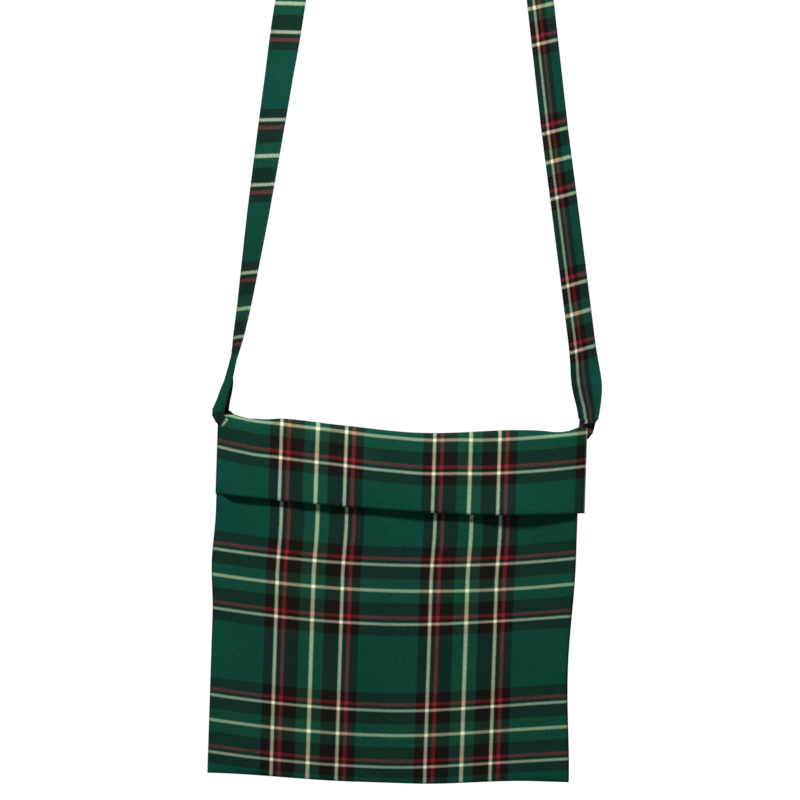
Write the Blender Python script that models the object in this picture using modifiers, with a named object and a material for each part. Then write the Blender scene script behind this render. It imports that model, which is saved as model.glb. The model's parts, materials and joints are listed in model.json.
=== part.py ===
"""Cloth shoulder bag: a flat lined pouch with a fold-over flap, hung by one long strap.

Metres, +Z up, the front of the bag facing -Y. The origin is the hang point, the underside of
the strap at the top of its loop. Three bodies move: the strap, the pouch that swings on the
strap's two sewn feet, and the flap that folds along the top edge of the back panel.
The pouch and the flap are laid out from the side seams' plane, with height zero at the swing
axis.
"""
import math

import bmesh
import bpy
from mathutils import Vector

# Pouch
POUCH_WIDTH = 0.294        # side seam to side seam
POUCH_HEIGHT = 0.280       # fold axis of the flap to the bottom edge
FRONT_FULLNESS = 0.0080    # how far the front panel swells at half height
MOUTH_OPENING = 0.0068     # how far the mouth gapes at its middle
MOUTH_DROP = 0.0035        # front panel's top edge below the fold's axis
BACK_FULLNESS = 0.0080     # how far the flat of the back stands behind the side seams
BACK_SLOPE_ACROSS = 0.25   # share of the half width in which the back rises to its flat
BACK_SLOPE_DOWN = 0.15     # the same, as a share of the height
CLOTH = 0.0010             # tartan cloth with its backing
LINING = 0.0008
PLY_GAP = 0.0004           # between plies that lie on each other
SEAM_WIDTH = 0.0120        # seam allowance turned inside
SEAM_OFFSET = 0.0008       # side seams behind the swing axis, so that the pouch hangs plumb
MOUTH_HEM = 0.0200         # turned-in top of the front panel
SLOPE_STEPS = 4            # rows and columns in each sloping margin of the back
BACK_ROWS = 6
BACK_COLUMNS = 8
FRONT_ROWS = 12
FRONT_COLUMNS = 14

# Flap
FLAP_OVERHANG = 0.0030     # flap beyond the side seam, each side
FLAP_DROP = 0.0650         # fold to the flap's lower edge
FOLD_HEIGHT = 0.0060       # rise of the fold above its axis
FOLD_GAP = 0.0012          # fold axis to the top edge of the back panel and its lining
FLAP_CLEARANCE = 0.0008    # flap's inner ply to the front panel, at the mouth
FLAP_LIFT = 0.0035         # how much further the flap's lower edge stands off
FLAP_HEM = 0.0140
FACING_INSET = 0.0015      # facing inside the flap's edge
EAR_DROP = 0.0100          # the flap's outer corners start this far below the fold edge
EAR_CLEARANCE = 0.0065     # strap foot to the cut-away of the flap's corner
ARCH_ROWS = 8
FLAP_ROWS = 7
FLAP_COLUMNS = 14

# Strap
STRAP_LENGTH = 1.210       # foot to foot, along the middle of the strap
STRAP_WIDTH = 0.0250
STRAP_CLOTH = 0.0013       # folded strip of cloth
LOOP_RADIUS = 0.0780       # top of the loop, over a shoulder or a rail
FOOT_OUTSET = 0.0015       # middle of the foot beyond the side seam
FOOT_STRAIGHT = 0.0040     # length of the foot that stays folded and straight
FOOT_FOLD = 0.0350         # height above the foot's end at which the strap is fully open
STRAP_TURN = 0.2900        # length in which the left arm turns from edge on to flat
END_DEPTH = 0.0260         # how deep the strap's end is sewn into the side seam
END_SLANT = 0.0070         # depth in which the end comes in line with the side seam
SWING_CLEARANCE = 0.0012   # strap foot to the edge of the back panel
TACK_HEIGHT = 0.0040
TACK_DEPTH = 0.0160        # bar tack below the fold edge
TACK_THICKNESS = 0.0007
FOOT_STATIONS = 4
ARM_STATIONS = 24
LOOP_STATIONS = 17         # odd, so that a flat facet lies at the very top

SIDES = {"left": -1.0, "right": 1.0}

HALF_WIDTH = POUCH_WIDTH / 2
SEAM_THICKNESS = 2 * STRAP_CLOTH          # as thick as the strap's folded end
EDGE_DEPTH = SEAM_THICKNESS / 2 + PLY_GAP  # inside of a panel at a side seam
HINGE_Y = EDGE_DEPTH + CLOTH              # outer face of the back panel at the fold
HINGE_Z = -(STRAP_CLOTH + SWING_CLEARANCE)
MOUTH_Z = HINGE_Z - MOUTH_DROP
BOTTOM_Z = HINGE_Z - POUCH_HEIGHT
LINING_HALF_WIDTH = HALF_WIDTH - SEAM_WIDTH - PLY_GAP
FOOT_WIDTH = STRAP_WIDTH / 2
FOOT_X = HALF_WIDTH + FOOT_OUTSET
ARCH_HALF_WIDTH = FOOT_X - FOOT_WIDTH / 2 - EAR_CLEARANCE
FLAP_HALF_WIDTH = HALF_WIDTH + FLAP_OVERHANG
FLAP_LOW_Z = HINGE_Z + FOLD_HEIGHT - FLAP_DROP
END_TOP_Z = -(STRAP_CLOTH + PLY_GAP)


def clamp(value):
    return max(0.0, min(1.0, value))


def ease(value):
    value = clamp(value)
    return value * value * (3.0 - 2.0 * value)


def steps(low, high, count):
    return [low + (high - low) * index / count for index in range(count + 1)]


def material(name, colour, roughness):
    made = bpy.data.materials.new(name)
    made.use_nodes = True
    shader = made.node_tree.nodes["Principled BSDF"]
    shader.inputs["Base Color"].default_value = (*colour, 1.0)
    shader.inputs["Roughness"].default_value = roughness
    shader.inputs["Metallic"].default_value = 0.0
    return made


def pivot(name, location, parent=None):
    empty = bpy.data.objects.new(name, None)
    empty.empty_display_size = 0.02
    empty.location = location
    empty.parent = parent
    bpy.context.scene.collection.objects.link(empty)
    return empty


def piece(name, mesh, paint, parent=None):
    """An object in the bag's collection; its mesh is in the pouch's frame when it has a parent."""
    made = bpy.data.objects.new(name, mesh)
    mesh.materials.append(paint)
    bag_parts.objects.link(made)
    seat(made, parent)
    return made


def seat(made, parent):
    """Hang an object from a pivot, with its mesh laid out from the side seams' plane."""
    made.parent = parent
    if parent is pouch_pivot:
        made.location = (0.0, SEAM_OFFSET, 0.0)
    if parent is flap_pivot:
        made.location = (0.0, -HINGE_Y, -HINGE_Z)


def sheet(name, paint, parent, columns, rows, place, thickness, inward=0.0, cut=None):
    """A sheet of cloth: a grid laid out by place(column, row), moved inward along its normals
    and then given its thickness. cut(left, right, low) says which cells are left out."""
    across = len(columns) - 1
    down = len(rows) - 1
    grid = bmesh.new()
    bmesh.ops.create_grid(grid, x_segments=across, y_segments=down, size=1.0)

    def cell(point):
        return (point.x + 1.0) / 2.0 * across, (point.y + 1.0) / 2.0 * down

    if cut:
        gone = []
        for face in grid.faces:
            column, row = cell(face.calc_center_median())
            if cut(columns[int(column)], columns[int(column) + 1], rows[int(row) + 1]):
                gone.append(face)
        bmesh.ops.delete(grid, geom=gone, context="FACES")
    for vertex in grid.verts:
        column, row = cell(vertex.co)
        vertex.co = place(columns[round(column)], rows[round(row)])
    grid.normal_update()
    for vertex, normal in [(vertex, vertex.normal.copy()) for vertex in grid.verts]:
        vertex.co += normal * inward
    mesh = bpy.data.meshes.new(name)
    grid.to_mesh(mesh)
    grid.free()
    made = piece(name, mesh, paint, parent)
    solidify = made.modifiers.new("thickness", "SOLIDIFY")
    solidify.thickness = thickness
    solidify.offset = 0.0
    return made


def block(name, paint, parent, low, high):
    """A folded strip of cloth as a box between two corners, with its edges eased."""
    cube = bmesh.new()
    bmesh.ops.create_cube(cube, size=1.0)
    low = Vector(low)
    high = Vector(high)
    for vertex in cube.verts:
        for axis in range(3):
            vertex.co[axis] = low[axis] if vertex.co[axis] < 0 else high[axis]
    mesh = bpy.data.meshes.new(name)
    cube.to_mesh(mesh)
    cube.free()
    made = piece(name, mesh, paint, parent)
    bevel = made.modifiers.new("eased edges", "BEVEL")
    bevel.width = min(high - low) * 0.25
    bevel.segments = 1
    return made


def outline(name, paint, parent, points, thickness):
    """A flat cut of cloth in the XZ plane, from a 2D curve with half its thickness extruded."""
    curve = bpy.data.curves.new(name + "_outline", "CURVE")
    curve.dimensions = "2D"
    curve.fill_mode = "BOTH"
    curve.extrude = thickness / 2
    spline = curve.splines.new("POLY")
    spline.points.add(len(points) - 1)
    for point, (x, z) in zip(spline.points, points):
        point.co = (x, z, 0.0, 1.0)
    spline.use_cyclic_u = True
    made = bpy.data.objects.new(name, curve)
    curve.materials.append(paint)
    bag_parts.objects.link(made)
    seat(made, parent)
    made.rotation_euler = (math.pi / 2, 0.0, 0.0)
    weld = made.modifiers.new("closed caps", "WELD")
    weld.merge_threshold = 0.00001
    return made


# Shape of the pouch ------------------------------------------------------------------------

def front_depth(x, z):
    """Inside of the front panel, in front of the side seams' plane."""
    down = clamp((MOUTH_Z - z) / (MOUTH_Z - BOTTOM_Z))
    across = max(0.0, 1.0 - (x / HALF_WIDTH) ** 2)
    swell = MOUTH_OPENING * (1.0 - down) ** 2 + FRONT_FULLNESS * math.sin(math.pi * down)
    return EDGE_DEPTH + across * swell


def back_depth(x, z):
    """Inside of the back panel, behind the side seams' plane: sloping margins round a flat."""
    down = (HINGE_Z - FOLD_GAP - z) / (POUCH_HEIGHT - FOLD_GAP)
    across = clamp((1.0 - abs(x) / HALF_WIDTH) / BACK_SLOPE_ACROSS)
    along = clamp(min(down, 1.0 - down) / BACK_SLOPE_DOWN)
    return EDGE_DEPTH + BACK_FULLNESS * across * along


def back_columns(half):
    edge = HALF_WIDTH * (1.0 - BACK_SLOPE_ACROSS)
    return [*steps(-half, -edge, SLOPE_STEPS)[:-1], *steps(-edge, edge, BACK_COLUMNS),
            *steps(edge, half, SLOPE_STEPS)[1:]]


def back_rows(low_z):
    top_z = HINGE_Z - FOLD_GAP
    slope = BACK_SLOPE_DOWN * (POUCH_HEIGHT - FOLD_GAP)
    return [*steps(top_z, top_z - slope, SLOPE_STEPS)[:-1],
            *steps(top_z - slope, BOTTOM_Z + slope, BACK_ROWS),
            *steps(BOTTOM_Z + slope, low_z, SLOPE_STEPS)[1:]]


def pouch_panels():
    half = HALF_WIDTH
    sheet("front_panel", tartan, pouch_pivot, steps(-half, half, FRONT_COLUMNS),
          steps(MOUTH_Z, BOTTOM_Z, FRONT_ROWS),
          lambda x, z: (x, -front_depth(x, z) - CLOTH / 2, z), CLOTH)
    sheet("back_panel", tartan_back, pouch_pivot, back_columns(half), back_rows(BOTTOM_Z),
          lambda x, z: (x, back_depth(x, z) + CLOTH / 2, z), CLOTH)


def pouch_lining():
    half = LINING_HALF_WIDTH
    floor_z = BOTTOM_Z + SEAM_WIDTH + PLY_GAP
    hem_z = MOUTH_Z - MOUTH_HEM
    inset = PLY_GAP + LINING / 2
    sheet("front_lining", lining_cloth, pouch_pivot, steps(-half, half, FRONT_COLUMNS),
          steps(hem_z - PLY_GAP, floor_z, FRONT_ROWS),
          lambda x, z: (x, inset - front_depth(x, z), z), LINING)
    sheet("back_lining", lining_back, pouch_pivot, back_columns(half), back_rows(floor_z),
          lambda x, z: (x, back_depth(x, z) - inset, z), LINING)
    sheet("mouth_hem", hem_cloth, pouch_pivot, steps(-half, half, FRONT_COLUMNS),
          steps(MOUTH_Z, hem_z, 2),
          lambda x, z: (x, PLY_GAP + CLOTH / 2 - front_depth(x, z), z), CLOTH)


def pouch_seams():
    outer = HALF_WIDTH - PLY_GAP / 2
    inner = HALF_WIDTH - SEAM_WIDTH
    half = SEAM_THICKNESS / 2
    floor_z = BOTTOM_Z + SEAM_WIDTH
    end_z = HINGE_Z - END_DEPTH
    block("bottom_seam", seam_cloth, pouch_pivot,
          (-outer, -half, BOTTOM_Z + PLY_GAP / 2), (outer, half, floor_z))
    for side, way in SIDES.items():
        edges = sorted((way * outer, way * inner))
        block(side + "_side_seam", seam_cloth, pouch_pivot,
              (edges[0], -half, floor_z + PLY_GAP), (edges[1], half, end_z - PLY_GAP))


def strap_ends():
    """The two ends of the strap, folded in half and sewn into the tops of the side seams."""
    inner = LINING_HALF_WIDTH + PLY_GAP
    outer = HALF_WIDTH - PLY_GAP / 2
    end_z = HINGE_Z - END_DEPTH
    slant_z = END_TOP_Z - END_SLANT
    profile = [(inner, end_z), (outer, end_z), (outer, slant_z),
               (FOOT_X + FOOT_WIDTH / 2, END_TOP_Z), (FOOT_X - FOOT_WIDTH / 2, END_TOP_Z),
               (inner, slant_z)]
    tack_z = HINGE_Z - TACK_DEPTH
    tack_y = back_depth(inner, tack_z - TACK_HEIGHT / 2) + CLOTH + PLY_GAP
    for side, way in SIDES.items():
        outline(side + "_strap_end", strap_cloth, pouch_pivot,
                [(way * x, z) for x, z in profile], SEAM_THICKNESS)
        edges = sorted((way * inner, way * outer))
        block(side + "_strap_tack", thread, pouch_pivot,
              (edges[0], tack_y, tack_z - TACK_HEIGHT / 2),
              (edges[1], tack_y + TACK_THICKNESS, tack_z + TACK_HEIGHT / 2))


# Shape of the flap -------------------------------------------------------------------------

INNER_PLIES = LINING + 2 * PLY_GAP


def flap_front(x, z):
    """Plane between the flap's two plies on the front of the bag, as a Y value."""
    low = clamp((HINGE_Z - z) / (HINGE_Z - FLAP_LOW_Z))
    stand = CLOTH + FLAP_CLEARANCE + INNER_PLIES + FLAP_LIFT * low ** 1.5
    return -(front_depth(x, z) + stand)


def flap_point(x, along):
    """The flap's middle plane: over the fold for along 0 to 1, then down the front to 2."""
    back_y = HINGE_Y - CLOTH
    front_y = flap_front(x, HINGE_Z)
    if along <= 1.0:
        angle = math.pi * along
        y = (back_y + front_y) / 2 + (back_y - front_y) / 2 * math.cos(angle)
        return (x, y, HINGE_Z + (FOLD_HEIGHT - CLOTH) * math.sin(angle))
    z = HINGE_Z + (along - 1.0) * (FLAP_LOW_Z - HINGE_Z)
    return (x, flap_front(x, z), z)


def flap_pieces():
    reach = HINGE_Z - FLAP_LOW_Z
    ear_row = 1.0 + EAR_DROP / reach

    def over_strap(left, right, row):
        """A cell beyond the fold's ends and above the flap's outer corners."""
        return abs(left + right) / 2 > ARCH_HALF_WIDTH and row <= ear_row + 1e-6

    def columns(half):
        return [-half, *steps(-ARCH_HALF_WIDTH, ARCH_HALF_WIDTH, FLAP_COLUMNS), half]

    def rows(low_row):
        return [*steps(0.0, 1.0, ARCH_ROWS), *steps(ear_row, low_row, FLAP_ROWS)]

    sheet("flap_cloth", tartan_flap, flap_pivot, columns(FLAP_HALF_WIDTH), rows(2.0),
          flap_point, CLOTH, -CLOTH / 2, over_strap)
    sheet("flap_facing", lining_flap, flap_pivot, columns(FLAP_HALF_WIDTH - FACING_INSET),
          rows(2.0 - FACING_INSET / reach), flap_point, LINING, PLY_GAP + LINING / 2, over_strap)
    hem_low = 2.0 - FACING_INSET / reach
    hem_high = hem_low - FLAP_HEM / reach
    sheet("flap_hem", hem_cloth, flap_pivot, columns(FLAP_HALF_WIDTH - FACING_INSET),
          steps(hem_high, hem_low, 2), flap_point, CLOTH, 2 * PLY_GAP + LINING + CLOTH / 2)


# Shape of the strap ------------------------------------------------------------------------

def strap_lean():
    """Angle of the strap's arms from the vertical, where arms and loop add up to its length."""
    low = 0.001
    high = 1.0
    for _ in range(50):
        lean = (low + high) / 2
        arm = (FOOT_X - LOOP_RADIUS * math.cos(lean)) / math.sin(lean)
        if 2 * arm + LOOP_RADIUS * (math.pi - 2 * lean) > STRAP_LENGTH:
            low = lean
        else:
            high = lean
    return lean


LEAN = strap_lean()
ARM_LENGTH = (STRAP_LENGTH - LOOP_RADIUS * (math.pi - 2 * LEAN)) / 2
LOOP_Z = ARM_LENGTH * math.cos(LEAN) - LOOP_RADIUS * math.sin(LEAN)
TOP_FACET = (math.pi - 2 * LEAN) / LOOP_STATIONS
STRAP_RISE = LOOP_Z + LOOP_RADIUS * math.cos(TOP_FACET / 2) - STRAP_CLOTH / 2


def foot_fold(distance):
    """1 where the strap is folded in half, 0 where it lies open."""
    return 1.0 - ease((distance - FOOT_STRAIGHT) / (FOOT_FOLD - FOOT_STRAIGHT))


def arm_turn(way, distance):
    """Turn of the strap about its own length, from flat to the front, in radians."""
    fold = foot_fold(distance)
    upper = ease((distance - STRAP_TURN) / (ARM_LENGTH - STRAP_TURN))
    if way < 0:
        open_turn = -math.pi / 2 * (1.0 - clamp(distance / STRAP_TURN)) + math.pi / 2 * upper
        return open_turn * (1.0 - fold)
    return -math.pi / 2 * upper * (1.0 - fold)


def strap_stations():
    """Centre, tangent, turn and fold of the strap, from the left foot over to the right."""
    arm = []
    distances = [0.0, *steps(FOOT_STRAIGHT, FOOT_FOLD, FOOT_STATIONS),
                 *steps(FOOT_FOLD, ARM_LENGTH, ARM_STATIONS)[1:]]
    for distance in distances:
        x = FOOT_X - distance * math.sin(LEAN)
        arm.append((x, distance * math.cos(LEAN), distance, foot_fold(distance)))
    stations = []
    for x, z, distance, fold in arm:
        tangent = Vector((math.sin(LEAN), 0.0, math.cos(LEAN)))
        stations.append((Vector((-x, 0.0, z)), tangent, arm_turn(-1.0, distance), fold))
    half_turn = math.pi / 2
    for angle in steps(math.pi - LEAN, LEAN, LOOP_STATIONS)[1:-1]:
        centre = Vector((LOOP_RADIUS * math.cos(angle), 0.0, LOOP_Z + LOOP_RADIUS * math.sin(angle)))
        stations.append((centre, Vector((math.sin(angle), 0.0, -math.cos(angle))), half_turn, 0.0))
    for x, z, distance, fold in reversed(arm):
        tangent = Vector((math.sin(LEAN), 0.0, -math.cos(LEAN)))
        turn = arm_turn(1.0, distance) + math.pi
        stations.append((Vector((x, 0.0, z)), tangent, turn, fold))
    return stations


def strap_mesh():
    """The strap lofted through oblong sections: wide and thin, and folded double at its feet."""
    loft = bmesh.new()
    rings = []
    for centre, tangent, turn, fold in strap_stations():
        flat = tangent.cross(Vector((0.0, 1.0, 0.0)))
        across = flat * math.cos(turn) + Vector((0.0, 1.0, 0.0)) * math.sin(turn)
        through = tangent.cross(across)
        wide = across * (STRAP_WIDTH + (FOOT_WIDTH - STRAP_WIDTH) * fold) / 2
        thick = through * STRAP_CLOTH * (1.0 + fold) / 2
        corners = (-wide - thick, wide - thick, wide + thick, -wide + thick)
        rings.append([loft.verts.new(centre + corner) for corner in corners])
    for lower, upper in zip(rings, rings[1:]):
        for index in range(4):
            after = (index + 1) % 4
            loft.faces.new((lower[index], lower[after], upper[after], upper[index]))
    loft.faces.new(rings[0])
    loft.faces.new(reversed(rings[-1]))
    bmesh.ops.recalc_face_normals(loft, faces=loft.faces)
    mesh = bpy.data.meshes.new("shoulder_strap")
    loft.to_mesh(mesh)
    loft.free()
    return mesh


def shoulder_strap():
    made = piece("shoulder_strap", strap_mesh(), strap_cloth)
    made.location = (0.0, 0.0, -STRAP_RISE)


for old in list(bpy.data.objects):
    bpy.data.objects.remove(old)
bag_parts = bpy.data.collections.new("cloth_shoulder_bag")
bpy.context.scene.collection.children.link(bag_parts)
pouch_pivot = pivot("pouch_pivot", Vector((0.0, 0.0, -STRAP_RISE)))
flap_pivot = pivot("flap_pivot", Vector((0.0, SEAM_OFFSET + HINGE_Y, HINGE_Z)), pouch_pivot)

tartan = material("front_tartan", (0.004, 0.052, 0.035), 0.9)
tartan_back = material("back_tartan", (0.004, 0.048, 0.033), 0.9)
tartan_flap = material("flap_tartan", (0.005, 0.062, 0.042), 0.9)
strap_cloth = material("strap_tartan", (0.005, 0.056, 0.038), 0.88)
hem_cloth = material("hem_tartan", (0.004, 0.045, 0.030), 0.92)
seam_cloth = material("seam_allowance", (0.003, 0.036, 0.026), 0.95)
lining_cloth = material("front_lining_cotton", (0.010, 0.030, 0.022), 0.8)
lining_back = material("back_lining_cotton", (0.011, 0.033, 0.024), 0.8)
lining_flap = material("flap_facing_cotton", (0.012, 0.036, 0.026), 0.8)
thread = material("sewing_thread", (0.010, 0.070, 0.050), 0.6)

pouch_panels()
pouch_lining()
pouch_seams()
strap_ends()
flap_pieces()
shoulder_strap()
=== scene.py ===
"""Green tartan shoulder bag: cloth, strap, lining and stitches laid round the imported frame.

Metres, +Z up, the front of the bag facing -Y. The cloth map is in metres of cloth too: u runs
across the check, v runs down it. The strap is cut lengthwise across the check, so u runs along it.
"""
import json
import math

import bpy
import numpy as np
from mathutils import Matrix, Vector


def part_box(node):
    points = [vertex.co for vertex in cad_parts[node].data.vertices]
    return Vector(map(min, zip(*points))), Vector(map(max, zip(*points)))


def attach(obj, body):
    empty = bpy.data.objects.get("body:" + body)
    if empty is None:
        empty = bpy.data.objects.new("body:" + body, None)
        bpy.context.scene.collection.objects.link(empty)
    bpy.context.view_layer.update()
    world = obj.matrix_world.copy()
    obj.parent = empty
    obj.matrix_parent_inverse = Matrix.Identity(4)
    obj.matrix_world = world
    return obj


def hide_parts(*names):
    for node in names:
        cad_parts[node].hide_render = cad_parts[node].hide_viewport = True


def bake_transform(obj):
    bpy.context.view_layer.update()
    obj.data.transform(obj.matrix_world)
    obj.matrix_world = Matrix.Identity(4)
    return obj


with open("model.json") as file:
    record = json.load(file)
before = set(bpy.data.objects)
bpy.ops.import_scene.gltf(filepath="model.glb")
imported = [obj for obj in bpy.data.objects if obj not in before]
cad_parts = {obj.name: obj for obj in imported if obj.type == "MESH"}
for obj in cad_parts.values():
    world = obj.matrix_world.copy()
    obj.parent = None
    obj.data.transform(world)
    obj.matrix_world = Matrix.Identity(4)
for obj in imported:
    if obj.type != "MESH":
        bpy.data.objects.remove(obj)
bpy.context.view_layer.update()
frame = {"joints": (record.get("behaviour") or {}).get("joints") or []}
joints = {joint["name"]: joint for joint in frame["joints"]}

# Places taken from the frame ---------------------------------------------------------------
SWING_Z = joints["pouch_swing"]["pos_m"][2]
FOLD_Z = joints["flap_fold"]["pos_m"][2]
SEAM_Y = (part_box("bottom_seam")[0].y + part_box("bottom_seam")[1].y) / 2
MOUTH_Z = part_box("front_panel")[1].z
BOTTOM_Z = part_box("front_panel")[0].z
HALF_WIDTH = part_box("front_panel")[1].x
STRAP_TOP_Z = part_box("shoulder_strap")[1].z

# Cloth and pouch ---------------------------------------------------------------------------
CLOTH = 0.0010                 # thickness of the tartan
LINING = 0.0008
PLY_GAP = 0.0004               # air between two plies
SEAM_PLY = 0.0009              # a pressed ply of seam allowance
SEAM_PLY_OFFSET = 0.00055      # its middle from the seam's plane
SEAM_INSET = 0.0012            # fold of a seam inside the pouch's outline
EDGE_DEPTH = 0.0017            # inside of a panel at its seam, from the seam's plane
EDGE_ROUND = 0.0030            # width in which a panel curls into its seam
FRONT_FULLNESS = 0.0080
MOUTH_OPENING = 0.0068
BACK_FULLNESS = 0.0080
BACK_SLOPE_ACROSS = 0.25       # share of the half width in which the back fills out
BACK_SLOPE_DOWN = 0.15         # the same down the back
MOUTH_HEM = 0.020
BOTTOM_SAG = 0.0036            # middle of the bottom edge below the frame's
CREASE_FADE = 0.03             # creases die out within this of a seam
GRAIN = 0.0034                 # spacing of the cloth's mesh
HANG_FRAMES = 24               # how long a panel is left to hang before it is kept
HANG_REACH = 0.0016            # the furthest any of it may move
SEAM_HOLD = 0.004              # a hanging panel is held this far in from its seams
FOLD_HOLD = 0.012              # and the back this far down from the fold
LINING_SLACK = 0.0003          # a free lining keeps this much more than a panel may move
LINING_FREE = 0.0030           # it is free where its panel stands this far off the seam's plane
LINING_TUCK = 0.0020           # top of the front lining below the frame's

# Flap --------------------------------------------------------------------------------------
FLAP_LEFT = -0.1481
FLAP_RIGHT = 0.1530
FLAP_CORNER_Z = -0.5497        # fold at the flap's corners
FLAP_DROP = 0.0696             # fold's corners down to the lower edge
FLAP_HEM = 0.014
FLAP_CLEARANCE = 0.0012        # between its facing and the front panel
FLAP_LIFT = 0.0012             # how much farther off its lower edge stands
FLAP_ROLL = 0.0016             # radius of its lower edge
FACING_TRIM = 0.0015           # the facing is this much smaller at its three free edges
SLIT_X = 0.1372                # beyond it the fold is slit for the strap

# The check ---------------------------------------------------------------------------------
REPEAT_ACROSS = 0.1253
REPEAT_DOWN = 0.1196
FRONT_U = 0.1051
FLAP_U = 0.1058                # the same for the flap
FRONT_V = -0.6476              # height at which the front panel's first dark band starts
FLAP_V = -0.5233               # the same for the flap, were it flat above the fold
FOLD_V = 0.021                 # cloth that the fold takes up between the flap and the back
# Stripes of one repeat: (start, end, colour) in metres of cloth, a later one over an earlier
ACROSS = [(0.0, 0.0285, "black"), (0.0082, 0.0110, "cream"), (0.0143, 0.0174, "red"),
          (0.0285, 0.0488, "leaf"), (0.0376, 0.0408, "lemon"),
          (0.0488, 0.0773, "black"), (0.0614, 0.0642, "cream"), (0.0675, 0.0706, "red")]
DOWN = [(0.0, 0.0268, "black"), (0.0088, 0.0116, "red"), (0.0141, 0.0165, "cream"),
        (0.0268, 0.0463, "leaf"), (0.0349, 0.0376, "lemon"),
        (0.0463, 0.0731, "black"), (0.0569, 0.0597, "red"), (0.0624, 0.0648, "cream")]
# Dyed yarns, in display values: the weave mixes them before they are made linear
YARN = {"green": (0.050, 0.251, 0.206), "leaf": (0.085, 0.262, 0.190),
        "black": (0.088, 0.080, 0.066), "cream": (0.94, 0.90, 0.78),
        "lemon": (0.96, 0.95, 0.76), "red": (0.56, 0.12, 0.16)}
YARN_BLEND = 0.0010            # width over which one stripe passes into the next
TWILL_PITCH = 0.0013           # one rib of the twill, along the map
WARP_SHARE = 0.55              # of what is seen; the rest is weft
YARN_GAMMA = 2.2
COTTON_PITCH = 0.0007          # thread spacing of the plain cottons


def clamp(value):
    return np.clip(value, 0.0, 1.0)


def ease(value):
    value = clamp(value)
    return value * value * (3.0 - 2.0 * value)


def swell(x, centre, reach):
    """1 at the centre, falling smoothly to 0 at the reach."""
    return 0.5 + 0.5 * np.cos(math.pi * clamp(np.abs(x - centre) / reach))


# Materials ---------------------------------------------------------------------------------

class Nodes:
    """A material's node tree with short calls."""

    def __init__(self, name):
        self.material = bpy.data.materials.new(name)
        self.material.use_nodes = True
        self.tree = self.material.node_tree
        self.shader = self.tree.nodes["Principled BSDF"]

    def add(self, kind, *inputs, **settings):
        node = self.tree.nodes.new(kind)
        for key, value in settings.items():
            setattr(node, key, value)
        for socket, value in zip(node.inputs, inputs):
            self.put(socket, value)
        return node

    def put(self, socket, value):
        if isinstance(value, bpy.types.NodeSocket):
            self.tree.links.new(value, socket)
        elif isinstance(value, bpy.types.Node):
            self.tree.links.new(value.outputs[0], socket)
        elif value is not None:
            socket.default_value = value

    def math(self, operation, *inputs):
        return self.add("ShaderNodeMath", *inputs, operation=operation)

    def mix(self, factor, first, second):
        node = self.tree.nodes.new("ShaderNodeMix")
        node.data_type = "RGBA"
        self.put(node.inputs["Factor"], factor)
        self.put(node.inputs["A"], first)
        self.put(node.inputs["B"], second)
        return node.outputs["Result"]

    def noise(self, vector, scale, detail=2.0):
        node = self.tree.nodes.new("ShaderNodeTexNoise")
        self.put(node.inputs["Vector"], vector)
        node.inputs["Scale"].default_value = scale
        node.inputs["Detail"].default_value = detail
        return node.outputs["Fac"]

    def finish(self, colour, height, bump, roughness, sheen):
        """Matt cloth or thread with this colour and this much relief."""
        self.put(self.shader.inputs["Base Color"], colour)
        self.shader.inputs["Roughness"].default_value = roughness
        self.shader.inputs["Specular IOR Level"].default_value = 0.02
        self.shader.inputs["Sheen Weight"].default_value = sheen
        self.shader.inputs["Sheen Roughness"].default_value = 0.6
        node = self.tree.nodes.new("ShaderNodeBump")
        node.inputs["Strength"].default_value = 1.0
        node.inputs["Distance"].default_value = bump
        self.put(node.inputs["Height"], height)
        self.put(self.shader.inputs["Normal"], node)
        return self.material


def stripes(nodes, coordinate, repeat, sett):
    """The colour of the yarn at a distance through the sett, from a ramp of narrow steps."""
    def colour_at(place):
        """The yarn there, coded with the plain gamma that the weave decodes."""
        colours = ["green"] + [colour for start, end, colour in sett if start <= place < end]
        linear = [((value + 0.055) / 1.055) ** 2.4 if value > 0.04045 else value / 12.92
                  for value in YARN[colours[-1]]]
        return (*(value ** (1 / YARN_GAMMA) for value in linear), 1.0)

    share = nodes.math("FRACT", nodes.math("DIVIDE", coordinate, repeat))
    ramp = nodes.add("ShaderNodeValToRGB", share).color_ramp
    stops = []
    for edge in sorted({0.0, *(edge for stripe in sett for edge in stripe[:2])}):
        start = max(0.0, edge - YARN_BLEND / 2)
        before = colour_at(repeat - 0.0001 if edge == 0.0 else edge - 0.0001)
        stops += [(start, before), (start + YARN_BLEND, colour_at(edge + 0.0001))]
    ramp.elements[0].position, ramp.elements[0].color = 0.0, stops[0][1]
    ramp.elements[1].position, ramp.elements[1].color = stops[1][0] / repeat, stops[1][1]
    for place, colour in stops[2:]:
        ramp.elements.new(place / repeat).color = colour
    return nodes.tree.nodes[-1].outputs["Color"]


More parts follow.
